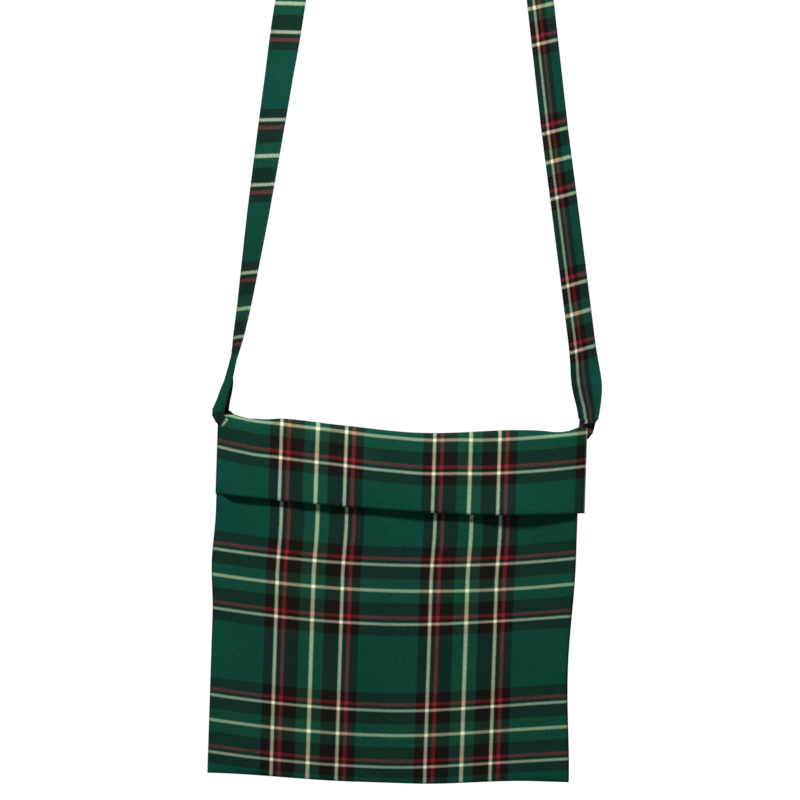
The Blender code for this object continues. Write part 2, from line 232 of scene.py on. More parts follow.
def tartan(name, painted_light_gain=1.0):
    """Twill-woven check: warp stripes across, weft stripes down, warp a little to the fore."""
    nodes = Nodes(name)
    cloth_map = nodes.add("ShaderNodeUVMap", uv_map="cloth")
    split = nodes.add("ShaderNodeSeparateXYZ", cloth_map)
    across, down = split.outputs["X"], split.outputs["Y"]
    wander = nodes.math("SUBTRACT", nodes.noise(cloth_map, 900.0), 0.5)
    wander = nodes.math("MULTIPLY", wander, 0.0007)
    warp = stripes(nodes, nodes.math("ADD", across, wander), REPEAT_ACROSS, ACROSS)
    weft = stripes(nodes, nodes.math("ADD", down, wander), REPEAT_DOWN, DOWN)
    rib = nodes.math("MULTIPLY", nodes.math("ADD", across, down), 2 * math.pi / TWILL_PITCH)
    twill = nodes.math("SINE", rib)
    over = nodes.math("ADD", nodes.math("MULTIPLY", twill, 0.17), WARP_SHARE)
    woven = nodes.mix(over, weft, warp)
    linear = nodes.add("ShaderNodeGamma", woven, YARN_GAMMA)
    stretch = nodes.add("ShaderNodeMapping", cloth_map)
    stretch.inputs["Scale"].default_value = (1.0, 0.22, 1.0)
    slub = nodes.noise(stretch, 2600.0, 1.0)
    nap = nodes.noise(cloth_map, 28.0, 3.0)
    fleck = nodes.noise(cloth_map, 420.0, 2.0)
    tone = nodes.math("ADD", nodes.math("MULTIPLY", slub, 0.40), nodes.math("MULTIPLY", nap, 0.40))
    tone = nodes.math("ADD", tone, nodes.math("MULTIPLY", fleck, 0.66))
    # painted light: this gain makes lit and shaded copies of the one tartan, painted lighter above
    # 1 and darker below 1
    tone = nodes.math("MULTIPLY", nodes.math("ADD", tone, 0.27), painted_light_gain)
    toned = nodes.add("ShaderNodeVectorMath", linear, operation="SCALE")
    nodes.put(toned.inputs["Scale"], tone)
    height = nodes.math("ADD", nodes.math("MULTIPLY", twill, 0.5), slub)
    return nodes.finish(toned.outputs["Vector"], height, 0.00012, 0.92, 0.008)


def plain_weave(name, colour):
    """Plain-woven cotton: over-and-under threads with uneven yarns."""
    nodes = Nodes(name)
    cloth_map = nodes.add("ShaderNodeUVMap", uv_map="cloth")
    split = nodes.add("ShaderNodeSeparateXYZ", cloth_map)
    turn = math.pi / COTTON_PITCH
    warp = nodes.math("SINE", nodes.math("MULTIPLY", split.outputs["X"], turn))
    weft = nodes.math("SINE", nodes.math("MULTIPLY", split.outputs["Y"], turn))
    threads = nodes.math("MULTIPLY", warp, weft)
    slub = nodes.noise(cloth_map, 1500.0, 2.0)
    patch = nodes.noise(cloth_map, 40.0, 3.0)
    shade = nodes.math("ADD", nodes.math("MULTIPLY", threads, 0.12), nodes.math("ADD", slub, patch))
    toned = nodes.add("ShaderNodeVectorMath", (*colour,), operation="SCALE")
    nodes.put(toned.inputs["Scale"], shade)
    height = nodes.math("ADD", nodes.math("MULTIPLY", threads, 0.5), slub)
    return nodes.finish(toned.outputs["Vector"], height, 0.00010, 0.85, 0.01)


def spun_thread(name, colour):
    """Sewing thread, its plies lighter and darker by turns."""
    nodes = Nodes(name)
    place = nodes.add("ShaderNodeTexCoord").outputs["Object"]
    ply = nodes.noise(place, 2200.0, 1.0)
    toned = nodes.add("ShaderNodeVectorMath", (*colour,), operation="SCALE")
    nodes.put(toned.inputs["Scale"], nodes.math("ADD", ply, 0.5))
    return nodes.finish(toned.outputs["Vector"], ply, 0.00008, 0.55, 0.02)


front_tartan = tartan("front_tartan")
back_tartan = tartan("back_tartan")
# painted light: the flap and the strap are the same tartan as the panels, painted 6% and 4% lighter
# as if more brightly lit
flap_tartan = tartan("flap_tartan", 1.06)
strap_tartan = tartan("strap_tartan", 1.04)
# painted shade: the seam allowances inside the pouch are the same tartan, painted 20% darker
seam_tartan_painted_shade = tartan("seam_allowance_tartan", 0.8)
lining_cotton = plain_weave("lining_cotton", (0.011, 0.033, 0.024))
facing_cotton = plain_weave("facing_cotton", (0.012, 0.036, 0.026))
green_thread = spun_thread("green_sewing_thread", (0.006, 0.060, 0.042))


# Making cloth ------------------------------------------------------------------------------

def mesh_object(name, points, quads, uv, paint):
    """A mesh with one map of cloth coordinates, without points that no face uses."""
    used, place = np.unique(quads, return_inverse=True)
    quads = place.reshape(quads.shape)
    mesh = bpy.data.meshes.new(name)
    mesh.from_pydata(points[used].tolist(), [], quads.tolist())
    layer = mesh.uv_layers.new(name="cloth")
    layer.data.foreach_set("uv", uv[used][quads.reshape(-1)].astype(np.float32).ravel())
    mesh.polygons.foreach_set("use_smooth", [True] * len(mesh.polygons))
    mesh.materials.append(paint)
    made = bpy.data.objects.new(name, mesh)
    bpy.context.scene.collection.objects.link(made)
    return made


def grid_quads(rows, columns, keep=None):
    """Faces of a grid of points, all of them or those that are marked to keep."""
    index = np.arange(rows * columns).reshape(rows, columns)
    quads = np.stack([index[:-1, :-1], index[1:, :-1], index[1:, 1:], index[:-1, 1:]], axis=-1)
    if keep is not None:
        return quads[keep]
    return quads.reshape(-1, 4)


def settle(made, held):
    """Let the cloth hang from its held points for a moment, then keep where it came to rest."""
    mesh = made.data
    group = made.vertex_groups.new(name="held")
    for weight in np.unique(held):
        group.add(np.nonzero(held == weight)[0].tolist(), float(weight), "REPLACE")
    hang = made.modifiers.new("hang", "CLOTH")
    hang.settings.vertex_group_mass = "held"
    hang.settings.quality = 6
    hang.settings.mass = 0.004
    hang.settings.tension_stiffness = 25.0
    hang.settings.compression_stiffness = 8.0
    hang.settings.shear_stiffness = 6.0
    hang.settings.bending_stiffness = 0.08
    hang.settings.air_damping = 4.0
    hang.collision_settings.use_collision = False
    scene = bpy.context.scene
    for moment in range(1, HANG_FRAMES + 1):
        scene.frame_set(moment)
    evaluated = made.evaluated_get(bpy.context.evaluated_depsgraph_get())
    hung = np.empty(len(mesh.vertices) * 3)
    evaluated.data.vertices.foreach_get("co", hung)
    rest = np.empty_like(hung)
    mesh.vertices.foreach_get("co", rest)
    move = (hung - rest).reshape(-1, 3)
    size = np.linalg.norm(move, axis=1, keepdims=True)
    move *= HANG_REACH * np.tanh(size / HANG_REACH) / np.maximum(size, 1e-9)
    made.modifiers.remove(hang)
    made.vertex_groups.remove(group)
    mesh.vertices.foreach_set("co", rest + move.ravel())
    mesh.update()
    scene.frame_set(1)


def thicken(made, thickness):
    solid = made.modifiers.new("thickness", "SOLIDIFY")
    solid.thickness = thickness
    solid.offset = 0.0


def cloth(name, points, uv, paint, thickness, keep=None, held=None):
    """A sheet from a grid of points, rows down the cloth and columns to the right."""
    rows, columns = points.shape[:2]
    made = mesh_object(name, points.reshape(-1, 3), grid_quads(rows, columns, keep),
                       uv.reshape(-1, 2), paint)
    if held is not None:
        settle(made, held.reshape(-1))
    thicken(made, thickness)
    return made


def spaced(low, high, margin=EDGE_ROUND):
    """Places from low to high, close together in the two margins."""
    near = np.array([0.0, 0.08, 0.22, 0.42, 0.68, 1.0]) * margin
    count = int(round((high - low - 2 * margin) / GRAIN))
    middle = np.linspace(low + margin, high - margin, count + 1)[1:-1]
    return np.concatenate([low + near, middle, high - near[::-1]])


# The pouch's shape -------------------------------------------------------------------------

def down_share(z):
    """0 at the mouth, 1 at the bottom."""
    return clamp((MOUTH_Z - z) / (MOUTH_Z - BOTTOM_Z))


def front_depth(x, z):
    """Inside of the front panel, from the seams' plane."""
    down = down_share(z)
    across = np.maximum(0.0, 1.0 - (x / HALF_WIDTH) ** 2)
    return EDGE_DEPTH + across * (MOUTH_OPENING * (1 - down) ** 2
                                  + FRONT_FULLNESS * np.sin(math.pi * down))


def back_depth(x, z):
    """Inside of the back panel, from the seams' plane."""
    down = (FOLD_Z - z) / (FOLD_Z - BOTTOM_Z)
    across = clamp((1.0 - np.abs(x) / HALF_WIDTH) / BACK_SLOPE_ACROSS)
    along = clamp(np.minimum(down, 1.0 - down) / BACK_SLOPE_DOWN)
    return EDGE_DEPTH + BACK_FULLNESS * ease(across) * ease(along)


def curl(gap):
    """How far a panel stands off its seam, at a distance in from the seam."""
    return np.sqrt(np.maximum(0.0, 1.0 - (1.0 - clamp(gap / EDGE_ROUND)) ** 2)) * 0.96 + 0.04


def bottom_line(x):
    """Height of the pouch's lower edge: lowest in the middle, with its corners drawn up."""
    left = 0.0034 * ease((-x - 0.03) / 0.11)
    right = 0.0052 * ease((x - 0.02) / 0.10)
    return BOTTOM_Z - BOTTOM_SAG + left + right


def seam_gap(x, z):
    """Distance to the nearest side seam or to the bottom seam."""
    return np.minimum(HALF_WIDTH - np.abs(x), z - bottom_line(x))


def side_shift(x, down):
    """Sideways shift of the cloth: the left edge swells once, the right edge is drawn in."""
    left = -0.0020 * swell(down, 0.38, 0.15) * ease((-x - 0.09) / 0.057)
    right = -0.0037 * swell(down, 0.67, 0.34) * ease((x - 0.085) / 0.062)
    return left + right


def placed(x, y, z):
    """Points of the pouch, shifted sideways with its edges."""
    return np.stack([x + side_shift(x, down_share(z)), y, z], axis=-1)


def bow_front(x, down):
    """How much higher than in the middle of the mouth the weft of the front lies."""
    even = 0.0093 * ((x + 0.006) / HALF_WIDTH) ** 2
    skew = 0.0031 * swell(x, 0.103, 0.110) * ease((down - 0.40) / 0.22)
    return even + skew + 0.0033 * clamp((down - 0.6) / 0.4) ** 2


def bow_flap(x):
    """The same for the flap and the back, with the unevenness of a loose fold."""
    even = 0.0128 * ((x - 0.022) / HALF_WIDTH) ** 2
    uneven = 0.0011 * swell(x, -0.055, 0.050) - 0.0009 * swell(x, 0.022, 0.035)
    return even + uneven - 0.0014 * ease((-x - 0.095) / 0.025) - 0.0007 * ease((x - 0.04) / 0.03)


def creases(x, z):
    """Shallow dents and rises in a panel that hangs from its two top corners."""
    left = np.hypot(x + HALF_WIDTH, z - MOUTH_Z)
    right = np.hypot(x - HALF_WIDTH, z - MOUTH_Z)
    pull = 0.0007 * np.sin(left / 0.017 + 0.6) * np.exp(-left / 0.11)
    pull += 0.0007 * np.sin(right / 0.019 + 2.0) * np.exp(-right / 0.12)
    roll = 0.0006 * np.sin(x / 0.031 + 1.1) * np.cos(z / 0.043 + 0.4)
    return pull + roll


def front_creases(x, z, gap):
    return creases(x, z) * ease(gap / CREASE_FADE)


def back_creases(x, z, gap):
    return creases(-x, z) * ease(gap / CREASE_FADE) * ease((FOLD_Z - z) / CREASE_FADE)


def front_panel():
    """Front panel from its turned-in mouth hem to the bottom seam."""
    columns = spaced(-HALF_WIDTH, HALF_WIDTH)
    fall = spaced(0.0, MOUTH_Z - BOTTOM_Z)
    turn = (CLOTH + PLY_GAP) / 2
    x, fall = np.meshgrid(columns, fall)
    stretch = (MOUTH_Z - bottom_line(x)) / (MOUTH_Z - BOTTOM_Z)
    z = MOUTH_Z - turn - fall * stretch * (1 - turn / (MOUTH_Z - BOTTOM_Z))
    down = down_share(z)
    gap = seam_gap(x, z)
    y = SEAM_Y - (front_depth(x, z) + front_creases(x, z, gap)) * curl(gap) - CLOTH / 2
    drift = 0.0016 * (1 - ease((MOUTH_Z - z - 0.070) / 0.045))   # the warp leans near the mouth
    v = FRONT_V - z + bow_front(x, down)
    outer = placed(x, y, z)
    uv = np.stack([x + FRONT_U - drift, v], axis=-1)
    rows_in, rows_uv = [], []
    top, top_uv = outer[0], uv[0]
    for step in np.linspace(0.0, 1.0, 7)[:-1]:
        rows_in.append(top + np.array([0.0, 2 * turn, -MOUTH_HEM * (1 - step)]))
        rows_uv.append(top_uv - np.array([0.0, math.pi * turn + MOUTH_HEM * (1 - step)]))
    for angle in np.linspace(0.0, math.pi, 6)[:-1]:
        over = [0.0, turn * (1 + math.cos(angle)), turn * math.sin(angle)]
        rows_in.append(top + np.array(over))
        rows_uv.append(top_uv - np.array([0.0, turn * (math.pi - angle)]))
    points = np.concatenate([np.array(rows_in), outer])
    held = np.ones(points.shape[:2])
    held[len(rows_in):] = (gap < SEAM_HOLD) | (MOUTH_Z - z < MOUTH_HEM)
    made = cloth("front_panel_cloth", points, np.concatenate([np.array(rows_uv), uv]),
                 front_tartan, CLOTH, held=held)
    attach(made, "pouch")
    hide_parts("front_panel", "mouth_hem")


def back_panel():
    """Back panel from the fold to the bottom seam; the check runs on from the flap."""
    columns = spaced(-HALF_WIDTH, HALF_WIDTH)
    rise = spaced(0.0, FOLD_Z - BOTTOM_Z)
    x, rise = np.meshgrid(columns, rise)
    low = bottom_line(x)
    z = low + rise * (FOLD_Z - low) / (FOLD_Z - BOTTOM_Z)
    gap = seam_gap(x, z)
    y = SEAM_Y + (back_depth(x, z) + back_creases(x, z, gap)) * curl(gap) + CLOTH / 2
    v = FLAP_V - FOLD_Z - FOLD_V - (FOLD_Z - z) + bow_flap(x)
    held = ((gap < SEAM_HOLD) | (FOLD_Z - z < FOLD_HOLD)).astype(float)
    made = cloth("back_panel_cloth", placed(x, y, z), np.stack([x + FLAP_U, v], axis=-1),
                 back_tartan, CLOTH, held=held)
    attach(made, "pouch")
    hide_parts("back_panel")


def linings():
    """Two plain linings, close to their panels at the seams and free of them farther in."""
    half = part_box("front_lining")[1].x
    floor_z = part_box("front_lining")[0].z
    columns = np.linspace(-half, half, 83)
    tops = {"front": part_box("front_lining")[1].z - LINING_TUCK, "back": FOLD_Z}
    for side, top in tops.items():
        x, z = np.meshgrid(columns, np.linspace(top, floor_z, 80))
        gap = seam_gap(x, z)
        depth = front_depth(x, z) if side == "front" else back_depth(x, z)
        free = (HANG_REACH + LINING_SLACK) * ease((depth - EDGE_DEPTH) / LINING_FREE)
        inset = PLY_GAP + LINING / 2 + free
        if side == "front":
            y = SEAM_Y - depth + inset - front_creases(x, z, gap)
        else:
            y = SEAM_Y + depth - inset + back_creases(x, z, gap)
            x, y, z = x[::-1], y[::-1], z[::-1]
        made = cloth(side + "_lining_cloth", placed(x, y, z), np.stack([x, z], axis=-1),
                     lining_cotton, LINING)
        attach(made, "pouch")
        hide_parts(side + "_lining")


def seam_allowances():
    """Two plies of turned-in cloth along each side seam and the bottom seam."""
    outer = HALF_WIDTH - SEAM_INSET
    low_corner, high_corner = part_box("right_side_seam")
    width = high_corner.x - low_corner.x
    top, low = high_corner.z, low_corner.z
    points, quads, uv, count = [], [], [], 0

    def add(x, z, ply, wave):
        nonlocal count
        y = SEAM_Y + ply * SEAM_PLY_OFFSET + wave
        points.append(placed(x, y, z).reshape(-1, 3))
        uv.append(np.stack([x + FRONT_U, FRONT_V - z], axis=-1).reshape(-1, 2))
        quads.append(grid_quads(*x.shape) + count)
        count += x.size

    for side in (-1, 1):
        for ply in (-1, 1):
            x, z = np.meshgrid(np.linspace(outer - width, outer, 4) * side,
                               np.linspace(top, low, 60))
            add(x, z, ply, 0.0002 * np.sin(z / 0.006 + ply) * (outer - np.abs(x)) / width)
    for ply in (-1, 1):
        height = low - 0.0006 - (BOTTOM_Z - BOTTOM_SAG + SEAM_INSET)
        x, share = np.meshgrid(np.linspace(-outer, outer, 70), np.linspace(1.0, 0.0, 4))
        z = bottom_line(x) + SEAM_INSET + share * height
        add(x, z, ply, 0.0002 * np.sin(x / 0.006 + ply) * share)
    made = mesh_object("seam_allowances", np.concatenate(points), np.concatenate(quads),
                       np.concatenate(uv), seam_tartan_painted_shade)
    thicken(made, SEAM_PLY)
    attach(made, "pouch")
    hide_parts("left_side_seam", "right_side_seam", "bottom_seam")


# The flap's shape --------------------------------------------------------------------------

def fold_line(x):
    """Height of the fold: it sags in the middle and its corners are drawn up by the strap."""
    corners = 0.0050 * ease((-x - 0.120) / 0.020) + 0.0045 * ease((x - 0.134) / 0.014)
    dips = 0.0009 * swell(x, -0.108, 0.014) + 0.0008 * swell(x, 0.127, 0.014)
    return (FLAP_CORNER_Z + 0.0030 * swell(x, -0.100, 0.052) - 0.0050 * swell(x, 0.018, 0.090)
            + corners - dips)


def flap_edge(x):
    """Height of the flap's lower edge."""
    left = 0.0098 * clamp((0.06 - x) / 0.208) ** 1.6
    right = 0.0038 * clamp((x - 0.06) / 0.092) ** 2
    return FLAP_CORNER_Z - FLAP_DROP + left + right


def flap_front(x, z, stand):
    """Middle of the flap's outer ply in front of the pouch."""
    low = clamp((FOLD_Z - z) / (FOLD_Z - flap_edge(x)))
    flare = FLAP_LIFT + 0.0034 * swell(x, 0.098, 0.065)
    belly = 0.0022 * np.sin(math.pi * low) * swell(x, -0.015, 0.075)
    ripple = 0.0005 * np.sin(x / 0.012) * low ** 2
    left = 0.6 * (1 - ease((x - FLAP_LEFT) / 0.016))
    right = 0.3 * (1 - ease((FLAP_RIGHT - x) / 0.014))
    off = front_depth(x, z) + stand + flare * low ** 1.6 + belly + ripple
    return SEAM_Y - off * (1 - left - right)


def flap_sheet(name, left, right, stand, inside, paint, thickness, hem, trim):
    """A ply of the flap: over the fold, down the front and, with a hem, up again inside.

    It stands so far off the inside of the front panel, lies so far inside the outer ply where it
    goes over the fold, and without a hem ends so far above the lower edge.
    """
    columns = np.concatenate([
        np.linspace(left, -SLIT_X, 5)[:-1], np.linspace(-SLIT_X, SLIT_X, 92),
        np.linspace(SLIT_X, right, 5)[1:]])
    arch = np.linspace(0.0, math.pi, 19)
    x = columns[None, :]
    back_y = SEAM_Y + EDGE_DEPTH + CLOTH / 2 - inside
    front_y = flap_front(x, FOLD_Z, stand)
    rise = fold_line(x) - FOLD_Z - CLOTH / 2 - inside
    angle = arch[:, None]
    y = (back_y + front_y) / 2 + (back_y - front_y) / 2 * np.cos(angle)
    z = FOLD_Z + rise * np.sin(angle) ** 0.85
    edge = flap_edge(x) + (FLAP_ROLL if hem else trim)
    fall = np.linspace(0.0, 1.0, 24)[1:, None]
    front_z = FOLD_Z + (edge - FOLD_Z) * fall
    y = np.concatenate([y, flap_front(x, front_z, stand)])
    z = np.concatenate([z, front_z])
    if hem:
        turn = PLY_GAP + (LINING + CLOTH) / 2
        low_y, low_z = y[-1], z[-1]
        for turned in np.linspace(0.0, math.pi, 9)[1:]:
            y = np.vstack([y, low_y + FLAP_ROLL * (1 - math.cos(turned))])
            z = np.vstack([z, low_z - FLAP_ROLL * math.sin(turned)])
        for up in np.linspace(0.0, FLAP_HEM, 7)[1:]:
            lifted = low_z + up
            behind = 2 * turn + 2 * (FLAP_ROLL - turn) * (1 - ease(up / 0.008))
            y = np.vstack([y, flap_front(x[0], lifted, stand) + behind])
            z = np.vstack([z, lifted])
    x = np.broadcast_to(x, y.shape)
    points = np.stack([x, y, z], axis=-1)
    walk = np.concatenate([np.zeros((1, x.shape[1])),
                           np.cumsum(np.linalg.norm(np.diff(points, axis=0), axis=-1), axis=0)])
    walk = walk - walk[len(arch) - 1]
    v = FLAP_V - FOLD_Z + bow_flap(x) + walk
    uv = np.stack([x * 1.005 + FLAP_U, v], axis=-1)
    middle = np.abs(columns[:-1] + columns[1:]) / 2
    keep = np.ones((y.shape[0] - 1, len(columns) - 1), bool)
    keep[:len(arch) // 2 + 2, :] = middle[None, :] < SLIT_X    # slit to just past the fold's top
    return cloth(name, points, uv, paint, thickness, keep)


def flap():
    """The folded flap with its hem, and the facing inside it."""
    stand = 2 * CLOTH + 2 * PLY_GAP + LINING + FLAP_CLEARANCE
    half_plies = (CLOTH + LINING) / 2
    outer = flap_sheet("flap_cloth_folded", FLAP_LEFT, FLAP_RIGHT, stand, 0.0, flap_tartan,
                       CLOTH, True, 0.0)
    inner = flap_sheet("flap_facing_cloth", FLAP_LEFT + FACING_TRIM, FLAP_RIGHT - FACING_TRIM,
                       stand - half_plies - PLY_GAP / 2, half_plies + PLY_GAP / 2,
                       facing_cotton, LINING, False, FACING_TRIM)
    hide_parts("flap_cloth", "flap_hem")
    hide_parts("flap_facing")
    return outer, inner


# The strap ---------------------------------------------------------------------------------
STRAP_WIDTH = 0.0250
STRAP_CLOTH = 0.0014           # all its plies together
FOOT_X = 0.1485                # a straight arm's foot
LEAN = math.radians(8.304)     # of a straight arm, inwards
LOOP_RADIUS = 0.0780           # over what the bag hangs from
LOOP_CENTRE_Z = STRAP_TOP_Z - LOOP_RADIUS - STRAP_CLOTH / 2
FRAME_RISE = LOOP_CENTRE_Z - SWING_Z + LOOP_RADIUS * math.sin(LEAN)
END_X = {-1: 0.1380, 1: 0.1406}    # sewn ends, just inside the side seams
END_LOW = 0.0270               # how far they reach down from the swing axis
UPPER_FROM = 0.355             # height at which the arms start to turn towards the loop
CHECK_DRAW = 0.9944            # metres of check in a metre of strap
LEFT_MARK = 0.1011             # the same dark band, over the left foot
RIGHT_MARK = 0.1070            # and over the right foot
MARK_U = 0.0392                # its place in the check
REPEATS_BETWEEN = 8
ARM_SEEN = 0.40                # length of each arm that the loop's check leaves alone


def arm_x(side, height):
    """Middle of an arm of the strap at a height over the swing axis, as an X value."""
    line = FOOT_X - height * math.tan(LEAN)
    fade = 1 - ease((height - UPPER_FROM) / 0.115)
    if side < 0:
        bent = 0.0041 * (1 - math.exp(-(height / 0.034) ** 2)) - 0.0267 * max(0.0, height - 0.10)
        outer = line - bent * fade
        settled = ease((height - 0.0015) / 0.0100)
    else:
        bent = 0.0104 * (1 - math.exp(-height / 0.013)) * (1 - 0.35 * min(1.0, height / 0.25))
        outer = line + bent * fade
        settled = ease((height + 0.0075) / 0.0135)
    return side * (END_X[side] + (outer - END_X[side]) * settled)


def foot_fold(side, height):
    """1 where the strap is folded lengthwise, 0 where it is open."""
    if side < 0:
        return float(np.interp(height, [0.0, 0.013, 0.020, 0.030, 0.049, 0.075],
                               [1.0, 0.68, 0.56, 0.50, 0.24, 0.0]))
    quick = 0.5 * ease((height - 0.007) / 0.009)
    return float(1 - quick - 0.5 * ease((height - 0.004) / 0.060))


def strap_stations():
    """Point, tangent, turn in degrees and fold, from the left end over the loop to the right."""
    stations = []
    heights = np.concatenate([np.linspace(-END_LOW, -0.008, 5), np.linspace(-0.006, 0.060, 34),
                              np.linspace(0.064, FRAME_RISE, 90)])
    for side in (-1, 1):
        arm = []
        for height in heights:
            x = arm_x(side, height)
            ahead = arm_x(side, height + 0.001)
            tangent = Vector((ahead - x, 0.0, 0.001)).normalized()
            fold = foot_fold(side, height)
            upper = float(ease((height - UPPER_FROM) / (FRAME_RISE - UPPER_FROM)))
            if side < 0:                   # edge-on at its foot, flat farther up
                turn = 270 + float(np.interp(height, [0.0, 0.17, 0.29, 0.33],
                                             [2.0, 46.5, 69.0, 88.0])) + 90 * upper
                sway = 0.0010 * math.sin(height / 0.05)
            else:                          # flat, folded lengthwise at its foot
                tangent = -tangent
                turn = 540 - 27 * float(ease((height - 0.02) / 0.06)) + 90 * fold - 63 * upper
                sway = 0.0012 * math.sin(height / 0.04 + 1)
            y = sway * float(clamp(height / 0.05)) * (1 - upper)
            arm.append((Vector((x, y, SWING_Z + height)), tangent, turn, fold))
        if side < 0:
            stations += arm
            for angle in np.linspace(math.pi - LEAN, LEAN, 42)[1:-1]:
                point = Vector((LOOP_RADIUS * math.cos(angle), 0.0,
                                LOOP_CENTRE_Z + LOOP_RADIUS * math.sin(angle)))
                tangent = Vector((math.sin(angle), 0.0, -math.cos(angle)))
                stations.append((point, tangent, 450.0, 0.0))
        else:
            stations += arm[::-1]
    return stations


def strap_section(turn, fold, offsets, crease):
    """Points across the strap for distances from its middle, and the cloth's direction there."""
    fine = np.linspace(-STRAP_WIDTH / 2, STRAP_WIDTH / 2, 121)
    bend = ease((fine - crease + 0.0021) / 0.0042) * 2 - 1
    heading = np.radians(turn + 85 * fold * bend)
    step = fine[1] - fine[0]
    path = np.stack([np.cos(heading), np.sin(heading)], axis=-1) * step
    line = np.concatenate([[[0.0, 0.0]], np.cumsum((path[1:] + path[:-1]) / 2, axis=0)])
    at = np.stack([np.interp(offsets, fine, line[:, k]) for k in (0, 1)], axis=-1)
    facing = np.interp(offsets, fine, heading)
    middle = (line.max(0) + line.min(0)) / 2
    return at - middle, facing


def strap_rings(lift, offsets):
    """For every station: points on the lined side, then on the plain side, of the strap."""
    rings = []
    for point, tangent, turn, fold in strap_stations():
        east = np.array(Vector((0.0, 1.0, 0.0)).cross(tangent))
        north = np.array((0.0, 1.0, 0.0))
        width = 0.96 if point.z < SWING_Z + 0.004 else 1.0
        at, facing = strap_section(turn, fold, offsets, 0.0035 if point.x < 0 else 0.0)
        out = np.stack([-np.sin(facing), np.cos(facing)], axis=-1)
        lined = at * width + out * lift
        plain = at * width - out * lift
        ring = np.concatenate([lined, plain[::-1]])
        rings.append(np.array(point) + ring[:, :1] * east + ring[:, 1:] * north)
    return np.array(rings)


def strap_measure():
    """Distance of every station along the strap."""
    places = np.array([station[0] for station in strap_stations()])
    return np.concatenate([[0.0], np.cumsum(np.linalg.norm(np.diff(places, axis=0), axis=1))])


def strap_check(distance):
    """Place in the check along the strap: it runs on from the left foot, over, to the right."""
    total = distance[-1]
    hidden = ease((distance - ARM_SEEN) / (total - 2 * ARM_SEEN))
    at_left = END_LOW + LEFT_MARK
    at_right = total - END_LOW - RIGHT_MARK
    spare = CHECK_DRAW * (at_right - at_left) - REPEATS_BETWEEN * REPEAT_ACROSS
    return MARK_U + CHECK_DRAW * (at_left - distance) + spare * hidden


def strap():
    """One closed band, its two long edges thinner than its middle."""
    edge = STRAP_WIDTH / 2
    offsets = np.linspace(-edge + 0.0005, edge - 0.0005, 19)
    full = np.concatenate([[-edge], offsets, [edge]])
    lifts = np.full(len(full), STRAP_CLOTH / 2)
    lifts[[0, -1]] = STRAP_CLOTH / 5
    rings = strap_rings(lifts[:, None], full)
    stations, around = rings.shape[:2]
    distance = strap_measure()
    along = strap_check(distance)
    lined_v = np.interp(full + edge, [0, 0.012, 0.0165, 0.025], [0.0211, 0.0091, 0.0, -0.0085])
    plain_v = 0.082 + (full + edge)[::-1]
    around_v = np.concatenate([lined_v, plain_v])
    slant = 0.118 - 0.268 * ease((distance - ARM_SEEN) / (distance[-1] - 2 * ARM_SEEN))
    skew = np.concatenate([full, full[::-1]])[None, :] * slant[:, None]
    index = np.arange(stations * around).reshape(stations, around)
    quads, uv = [], []
    for station in range(stations - 1):
        for place in range(around):
            after = (place + 1) % around
            quads.append((index[station, place], index[station + 1, place],
                          index[station + 1, after], index[station, after]))
            start_v = around_v[place]
            end_v = around_v[after]
            if place == len(full) - 1 or after == 0:
                start_v = end_v = plain_v[0] if place == len(full) - 1 else plain_v[-1]
            here = along[station] + skew[station]
            there = along[station + 1] + skew[station + 1]
            uv += [(here[place], start_v), (there[place], start_v),
                   (there[after], end_v), (here[after], end_v)]
    mesh = bpy.data.meshes.new("strap")
    faces = [tuple(quad) for quad in quads]
    faces += [tuple(index[0]), tuple(index[-1][::-1])]
    uv += [(along[0], value) for value in around_v]
    uv += [(along[-1], value) for value in around_v[::-1]]
    mesh.from_pydata(rings.reshape(-1, 3).tolist(), [], faces)
    layer = mesh.uv_layers.new(name="cloth")
    layer.data.foreach_set("uv", np.array(uv, np.float32).ravel())
    mesh.polygons.foreach_set("use_smooth", [True] * len(mesh.polygons))
    mesh.materials.append(strap_tartan)
    made = bpy.data.objects.new("strap", mesh)
    bpy.context.scene.collection.objects.link(made)
    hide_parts("shoulder_strap", "left_strap_end", "right_strap_end")
    return made


# Stitches ----------------------------------------------------------------------------------

